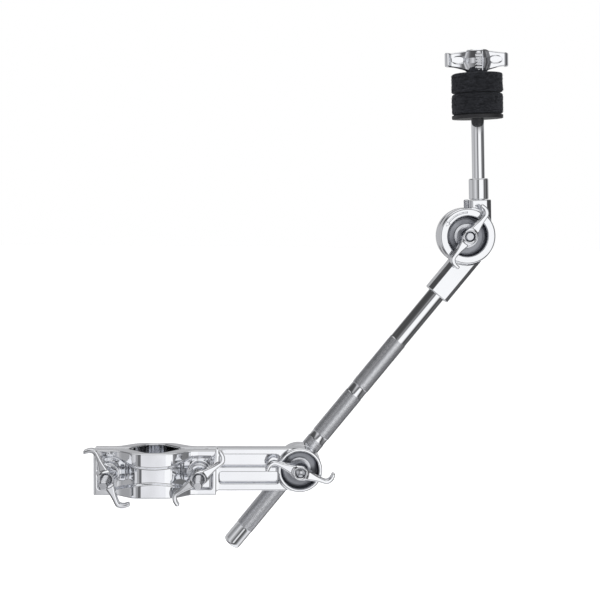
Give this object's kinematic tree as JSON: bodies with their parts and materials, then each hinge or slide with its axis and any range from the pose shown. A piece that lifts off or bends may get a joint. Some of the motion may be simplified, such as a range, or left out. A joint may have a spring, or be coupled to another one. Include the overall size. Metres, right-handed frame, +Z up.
{
  "type": "cymbal boom arm",
  "caption": "Clamp-on cymbal boom arm: two-jaw tube clamp on a cast arm, swivelling knurled rod, disc tilter and a felted cymbal post, set with wing nuts.",
  "frame": {"origin": "on the axis of the clamped stand tube, at the middle of the jaws' height", "axes": "+Z up along the clamped tube, +X along the arm towards the boom's pivot, -Y out of the front jaw, the way its wing nuts face"},
  "size_m": [0.2753, 0.0838, 0.3358],
  "materials": {
    "cast_chrome": "chrome plate over a zinc casting, slightly wavy",
    "chrome_tube": "chrome plate over turned steel",
    "plated_steel": "bright zinc plate",
    "black_felt": "pressed wool felt",
    "black_plastic": "moulded nylon"
  },
  "bodies": {
    "clamp": {"clamp_arm": "cast_chrome", "jaw_bolt_left": "plated_steel", "jaw_bolt_right": "plated_steel"},
    "jaw": {"front_jaw": "cast_chrome", "jaw_washer_left": "plated_steel", "jaw_washer_right": "plated_steel"},
    "jaw_nut_left": {"jaw_wing_nut_left": "cast_chrome"},
    "jaw_nut_right": {"jaw_wing_nut_right": "cast_chrome"},
    "swivel": {"swivel_disc": "cast_chrome", "eye_bolt": "plated_steel"},
    "pivot_spacer": {"pivot_washer": "plated_steel"},
    "pivot_nut": {"pivot_wing_nut": "cast_chrome"},
    "boom": {"boom_rod": "chrome_tube"},
    "tilter_base": {"tilter_socket": "cast_chrome", "socket_set_screw": "plated_steel", "tilter_bolt": "plated_steel", "tilter_friction_washer": "black_plastic"},
    "tilter_spacer": {"tilter_washer": "plated_steel"},
    "tilter_nut": {"tilter_wing_nut": "cast_chrome"},
    "mast": {"tilter_head": "cast_chrome", "index_screw": "plated_steel", "post_collar": "chrome_tube", "cymbal_post": "chrome_tube", "seat_washer": "black_plastic", "post_sleeve": "black_plastic", "lower_felt": "black_felt"},
    "top_felt": {"upper_felt": "black_felt"},
    "cymbal_nut": {"cymbal_wing_nut": "cast_chrome"}
  },
  "joints": [
    {"name": "jaw_open", "type": "slide", "parent": "clamp", "child": "jaw", "axis": [0, -1, 0], "range_m": [-0.0024, 0.012]},
    {"name": "jaw_nut_left_spin", "type": "hinge", "parent": "jaw", "child": "jaw_nut_left", "pos_m": [-0.029, 0, 0], "axis": [0, -1, 0], "continuous": true},
    {"name": "jaw_nut_right_spin", "type": "hinge", "parent": "jaw", "child": "jaw_nut_right", "pos_m": [0.029, 0, 0], "axis": [0, -1, 0], "continuous": true},
    {"name": "boom_swivel", "type": "hinge", "parent": "clamp", "child": "swivel", "pos_m": [0.0945, 0, 0], "axis": [0, -1, 0], "continuous": true},
    {"name": "pivot_back_off", "type": "slide", "parent": "swivel", "child": "pivot_spacer", "axis": [0, -1, 0], "range_m": [0, 0.003]},
    {"name": "pivot_nut_spin", "type": "hinge", "parent": "pivot_spacer", "child": "pivot_nut", "pos_m": [0.0945, 0, 0], "axis": [0, -1, 0], "continuous": true},
    {"name": "boom_slide", "type": "slide", "parent": "swivel", "child": "boom", "axis": [0.6259, 0, 0.7799], "range_m": [-0.105, 0.05]},
    {"name": "boom_roll", "type": "hinge", "parent": "boom", "child": "tilter_base", "pos_m": [0.0945, 0.025, 0], "axis": [0.6259, 0, 0.7799], "continuous": true},
    {"name": "tilter_tilt", "type": "hinge", "parent": "tilter_base", "child": "mast", "pos_m": [0.20477, 0.025, 0.15384], "axis": [0, -1, 0], "range_deg": [-80, 120]},
    {"name": "tilter_back_off", "type": "slide", "parent": "tilter_base", "child": "tilter_spacer", "axis": [0, -1, 0], "range_m": [0, 0.003]},
    {"name": "tilter_nut_spin", "type": "hinge", "parent": "tilter_spacer", "child": "tilter_nut", "pos_m": [0.20477, 0, 0.15384], "axis": [0, -1, 0], "continuous": true},
    {"name": "felt_lift", "type": "slide", "parent": "mast", "child": "top_felt", "axis": [-0.0419, 0, 0.9991], "range_m": [0, 0.01]},
    {"name": "cymbal_nut_spin", "type": "hinge", "parent": "top_felt", "child": "cymbal_nut", "pos_m": [0.21, 0.025, 0.258], "axis": [-0.0419, 0, 0.9991], "continuous": true}
  ],
  "couplings": [
    {"joint": "jaw_nut_left_spin", "follows": "jaw_open", "rad_per_m": 6283.2},
    {"joint": "jaw_nut_right_spin", "follows": "jaw_open", "rad_per_m": 6283.2},
    {"joint": "pivot_nut_spin", "follows": "pivot_back_off", "rad_per_m": 6283.2},
    {"joint": "tilter_nut_spin", "follows": "tilter_back_off", "rad_per_m": 6283.2},
    {"joint": "cymbal_nut_spin", "follows": "felt_lift", "rad_per_m": 5026.5}
  ]
}
